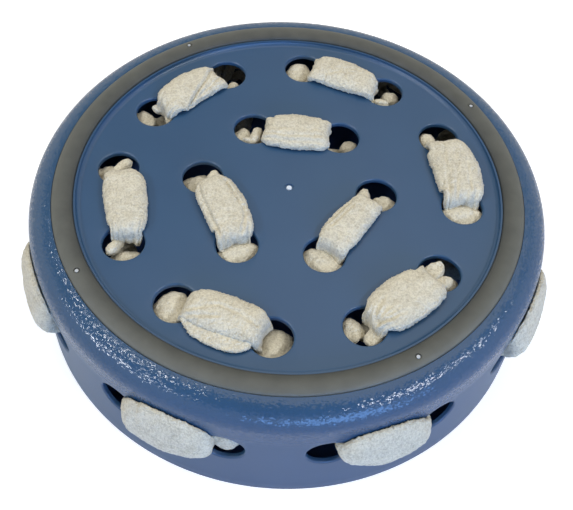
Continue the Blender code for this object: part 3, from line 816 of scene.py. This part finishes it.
def clearOfRim(local, row):
    # what would sink into the moulding near a hole goes round the rim's rounded edge instead
    x, y, z = local[..., 0], local[..., 1], local[..., 2]
    hole, edge, gap = holes["radius"], holes["round"], strip["rimGap"]
    middle = np.sign(x) * row["spacing"] / 2
    reach = np.maximum(np.hypot(x - middle, y), 1e-9)
    wanted, height = reach.copy(), z.copy()
    low = (z < -edge) & (reach > hole - gap)
    wanted[low] = hole - gap
    flat = (reach >= hole + edge) & (z >= -edge)
    height[flat] = np.maximum(z[flat], gap)
    corner = (reach < hole + edge) & (z >= -edge)
    a, b = reach - hole - edge, z + edge
    far = np.maximum(np.hypot(a, b), 1e-9)
    push = corner & (far < edge + gap)
    wanted[push] = (hole + edge + a * (edge + gap) / far)[push]
    height[push] = (-edge + b * (edge + gap) / far)[push]
    share = wanted / reach
    local[..., 0], local[..., 1], local[..., 2] = middle + (x - middle) * share, y * share, height
    return local


def throughHole(local, row):
    # keeps a tail under the moulding, but for what domes up in the hole, 1 mm proud at most
    reach = np.hypot(np.abs(local[..., 0]) - row["spacing"] / 2, local[..., 1])
    dome = np.clip((holes["radius"] - strip["rimGap"] - reach) / (3.5 * mm), 0, 1)
    under = -bowl["wall"] - 0.8 * mm      # just below the moulding's inner face
    local[..., 2] = np.minimum(local[..., 2], under + dome * dome * (3 - 2 * dome) * (1 * mm - under))
    return local


def noiseAt(points, size):
    values = [noise.noise(Vector(p)) for p in (points / size).reshape(-1, 3)]
    return np.array(values).reshape(points.shape[:-1])


def brushed(world, lift, fray, crumple):
    # raises the pile: curls with finer ones on them, broad swells, tufts, frayed edges and crumpled tails
    around, along = np.roll(world, -1, 1) - np.roll(world, 1, 1), np.gradient(world, axis=0)
    normal = unit(np.cross(along, around))
    if ((world - world.mean(1, keepdims=True)) * normal).sum() < 0:
        normal = -normal
    curl = strip["curl"]
    grain = noiseAt(world, curl) + 0.5 * noiseAt(world, 0.45 * curl)
    broad = noiseAt(world, 6 * curl)
    tufts = noiseAt(world, strip["tuft"]) * strip["tuftRise"]
    dents = np.minimum(noiseAt(world, strip["crumpleSize"]), 0.2) * strip["crumple"] * 2    # deeper than high
    raised = lift + tufts + (grain + 1.5 * broad) * strip["pile"] + np.abs(grain) * fray + dents * crumple
    return world + normal * raised[..., None]


def tubeFaces(rows, columns, offset):
    faces = []
    for i in range(rows - 1):
        for j in range(columns):
            k = (j + 1) % columns
            quad = (i * columns + j, i * columns + k, (i + 1) * columns + k, (i + 1) * columns + j)
            faces.append([offset + n for n in quad])
    first, last, end = offset + rows * columns, offset + rows * columns + 1, offset + (rows - 1) * columns
    faces += [(first, offset + (j + 1) % columns, offset + j) for j in range(columns)]
    faces += [(last, end + j, end + (j + 1) % columns) for j in range(columns)]
    return faces


def bitStations(row, end, points, width, thick):
    places = [holePlace(row, point, end) for point in points]      # shares are of its width at each place
    if end == "band":
        shares = [0.6] + [1] * (len(points) - 2) + [0.6]
    else:        # it comes up from below and ends in a rounded tip
        ahead = (places[-1] - places[-2]).normalized()
        start = places[0] * 1.4 - places[1] * 0.4 - Vector((0, 0, 3 * mm))
        places = [start] + places + [places[-1] + ahead * width * 0.3 * mm]
        shares = [0.8] + [1] * (len(points) - 1) + [0.85, 0.35]
    stations = []
    for i, (place, share) in enumerate(zip(places, shares)):
        ahead = places[min(i + 1, len(places) - 1)] - places[max(i - 1, 0)]
        side = Vector((0, 0, 1)).cross(ahead)
        high = thick * (1 if end == "band" else share) * mm
        stations.append((place, width * share * mm, high, strip["tailSquare"], strip["bitBelly"], 0, side))
    return stations


def stripMesh(name, row, band, onWall, place):
    verts, faces = [], []

    def addTube(local, lift, fray, crumple):
        world = brushed(place(local), lift, fray, crumple)
        faces.extend(tubeFaces(*world.shape[:2], len(verts)))
        verts.extend(world.reshape(-1, 3).tolist() + [world[0].mean(0).tolist(), world[-1].mean(0).tolist()])

    # stations at which the band, the leg in the hole, the knot and the tail's loop end, from the middle
    bandEnd, legEnd, knotEnd, loopEnd = 4, 6, 8 + strip["knotSteps"], 14 + strip["knotSteps"]
    stations = wholeStrip(row, band, onWall)
    run, station = throughStations(stations, lambda n: n < legEnd or knotEnd < n < loopEnd)
    lean = strip["wallLean"] * onWall * np.clip(bandEnd + 0.5 - station, 0, 1)[:, None]
    local, degrees = sectioned(run, lean)
    lift = foldedLift(band, local, degrees)
    upper, tail = station < legEnd + 0.5, station > knotEnd - 0.5
    local[upper] = clearOfRim(local[upper], row)
    local[tail] = throughHole(local[tail], row)
    across, upright = np.abs(np.cos(np.radians(degrees))), np.sin(np.radians(degrees))
    edge = across ** 6 * (station < bandEnd - 0.6)[:, None] * (upright < 0.35)
    addTube(local, lift * upper[:, None], edge * strip["fray"], tail[:, None] * 1.0)
    for end, points, width, thick in band["bits"]:
        run, station = throughStations(bitStations(row, end, points, width, thick), lambda n: True)
        local, degrees = sectioned(run)
        if end != "band":
            local = throughHole(local, row)
        frayed = np.abs(np.cos(np.radians(degrees))) ** 4 * np.ones((len(run), 1)) * (end == "band")
        addTube(local, 0, frayed * strip["fray"], strip["bitCrumple"])

    mesh = bpy.data.meshes.new(name)
    mesh.from_pydata(verts, [], faces)
    bm = bmesh.new()
    bm.from_mesh(mesh)
    bmesh.ops.recalc_face_normals(bm, faces=bm.faces)
    bm.to_mesh(mesh)
    bm.free()
    mesh.shade_smooth()
    return mesh


def makeStrips():
    for row in stripRows:
        onWall = row is wallRow
        for index in range(row["count"]):
            node = f"{row['name']}_{index + 1}"
            angle = row["first"] + 360 * index / row["count"]
            band = wallStrips.get(node, otherWallStrip) if onWall else {**plainBand, **strips[node]}
            mesh = stripMesh("fleece_" + node, row, band, onWall, row["place"](row, angle))
            piece = newPiece("fleece_" + node, mesh, fleeceCloth)
            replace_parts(piece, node)
        print(row["name"] + ":", row["count"], "strips")


makeStrips()


# Camera at the photograph's place, from a fit to the bowl's rims and holes

photo = dict(
    width=573, focal=889.3, tilt=54.583, roll=3.532, distance=454.1 * mm, aimX=0.8 * mm, aimY=-44.8 * mm,
    turned=-11.8, clip=10 * mm,
)


def makeCamera():
    tilt, roll = math.radians(photo["tilt"]), math.radians(photo["roll"])
    back = Vector((0, -math.cos(tilt), math.sin(tilt)))
    level = Vector((1, 0, 0))
    over = back.cross(level)
    right = math.cos(roll) * level + math.sin(roll) * over
    top = math.cos(roll) * over - math.sin(roll) * level
    placed = Matrix((right, top, back)).transposed().to_4x4()
    placed.translation = Vector((photo["aimX"], photo["aimY"], plateZ)) + back * photo["distance"]
    camera = linked("camera", bpy.data.cameras.new("camera"))
    camera.matrix_world = Matrix.Rotation(math.radians(photo["turned"]), 4, "Z") @ placed
    camera.data.lens = photo["focal"] / photo["width"] * camera.data.sensor_width
    camera.data.clip_start = photo["clip"]
    scene.camera = camera


# Light: a broad ceiling, two narrow windows on the left and one on the right, which the grained shoulder
# mirrors, and a broad bluish one low in front, for the front of the wall

lamps = {
    "ceiling": dict(azimuth=45, height=70, away=1.5, size=(1.3, 1.3), power=7.2, colour="#FFF4E4"),
    "leftHigh": dict(azimuth=157, height=64, away=1.4, size=(0.9, 0.03), power=4.8, colour="#FFFFFF"),
    "leftLow": dict(azimuth=-166, height=35.5, away=1.4, size=(0.75, 0.05), power=5.6, colour="#F4F8FF"),
    "right": dict(azimuth=-38, height=45, away=1.4, size=(0.9, 0.05), power=7.2, colour="#F4F8FF"),
    "front": dict(azimuth=-80, height=14, away=1.7, size=(1.4, 0.5), power=18, colour="#78B0FF"),
}


def makeLights():
    for name, lamp in lamps.items():
        light = bpy.data.lights.new(name, "AREA")
        light.shape = "RECTANGLE"
        light.size, light.size_y = lamp["size"]
        light.energy = lamp["power"]
        light.color = hexColour(lamp["colour"])[:3]
        azimuth, height = math.radians(lamp["azimuth"]), math.radians(lamp["height"])
        level = math.cos(height)
        way = Vector((level * math.cos(azimuth), level * math.sin(azimuth), math.sin(height)))
        item = linked(name, light)
        item.location = way * lamp["away"] + Vector((0, 0, plateZ))
        item.rotation_euler = way.to_track_quat("Z", "Y").to_euler()


# the navy is painted shade under the bowl, for its dim inside that shows through the holes
backdrop = dict(
    seen="#FFFFFF", lit="#F4F4F4", strength=0.22, wallsTo=0.5, ceilingFrom=0.72,
    floor="#E9E9E9", inside="#2A4A80", roughness=0.9, size=6,
    glow=0.55, mirrored=0.25, glowNear=2 * mouthRadius, glowFar=10 * mouthRadius,
)


def backgroundRays(tree, mirrored):
    # 1 for what the camera sees, mirrored for what gloss and glass see, 0 for the plain light on the object
    ray = addNode(tree, "ShaderNodeLightPath").outputs
    gloss = addNode(tree, "ShaderNodeMath", {
        0: ray["Is Glossy Ray"], 1: ray["Is Transmission Ray"],
    }, operation="MAXIMUM")
    weaker = addNode(tree, "ShaderNodeMath", {0: gloss, 1: mirrored}, operation="MULTIPLY")
    return addNode(tree, "ShaderNodeMath", {0: ray["Is Camera Ray"], 1: weaker}, operation="MAXIMUM")


def makeWorld():
    world = bpy.data.worlds.new("studio")
    scene.world = world
    world.use_nodes = True
    tree = world.node_tree
    tree.nodes.clear()
    way = addNode(tree, "ShaderNodeSeparateXYZ", {0: addNode(tree, "ShaderNodeTexCoord").outputs["Object"]})
    walls = addNode(tree, "ShaderNodeMapRange", {       # white walls under a dim ceiling
        "Value": way.outputs[2], "From Min": backdrop["wallsTo"], "From Max": backdrop["ceilingFrom"],
        "To Min": 1, "To Max": backdrop["strength"],
    })
    lit = addNode(tree, "ShaderNodeBackground", {
        "Color": hexColour(backdrop["lit"]), "Strength": backdrop["strength"],
    })
    shown = addNode(tree, "ShaderNodeBackground", {"Color": hexColour(backdrop["seen"]), "Strength": walls})
    both = addNode(tree, "ShaderNodeMixShader", {0: backgroundRays(tree, 1), 1: lit, 2: shown})
    addNode(tree, "ShaderNodeOutputWorld", {"Surface": both})


def makeFloor():
    bm = bmesh.new()
    bmesh.ops.create_grid(bm, x_segments=1, y_segments=1, size=backdrop["size"])
    floor = linked("floor", meshFrom(bm, "floor"))
    material, tree, shader = newMaterial("white floor, matt")
    place = addNode(tree, "ShaderNodeTexCoord").outputs["Object"]
    reach = addNode(tree, "ShaderNodeVectorMath", {0: place}, operation="LENGTH").outputs["Value"]
    outside = addNode(tree, "ShaderNodeMath", {0: reach, 1: mouthRadius}, operation="GREATER_THAN")
    seen = addNode(tree, "ShaderNodeMath", {
        0: backgroundRays(tree, backdrop["mirrored"]), 1: outside,
    }, operation="MULTIPLY")
    # the lamps reach less of the floor further off, so it glows more there and stays white
    further = addNode(tree, "ShaderNodeMapRange", {
        "Value": reach, "From Min": backdrop["glowNear"], "From Max": backdrop["glowFar"],
        "To Min": backdrop["glow"], "To Max": 1,
    })
    glow = addNode(tree, "ShaderNodeMath", {0: seen, 1: further}, operation="MULTIPLY")
    shade = addNode(tree, "ShaderNodeMix", {       # painted shade: navy under the bowl, for the dim blue inside that shows through its holes
        "Factor": outside,
        mixFrom: hexColour(backdrop["inside"]), mixTo: hexColour(backdrop["floor"]),
    }, data_type="RGBA")
    setSockets(tree, shader, {
        "Base Color": shade.outputs[mixed], "Roughness": backdrop["roughness"],
        "Emission Color": hexColour(backdrop["seen"]), "Emission Strength": glow,
    })
    floor.data.materials.append(material)


makeCamera()
makeLights()
makeWorld()
makeFloor()
scene.view_settings.view_transform = "Standard"
print("camera, lights and floor are in place")
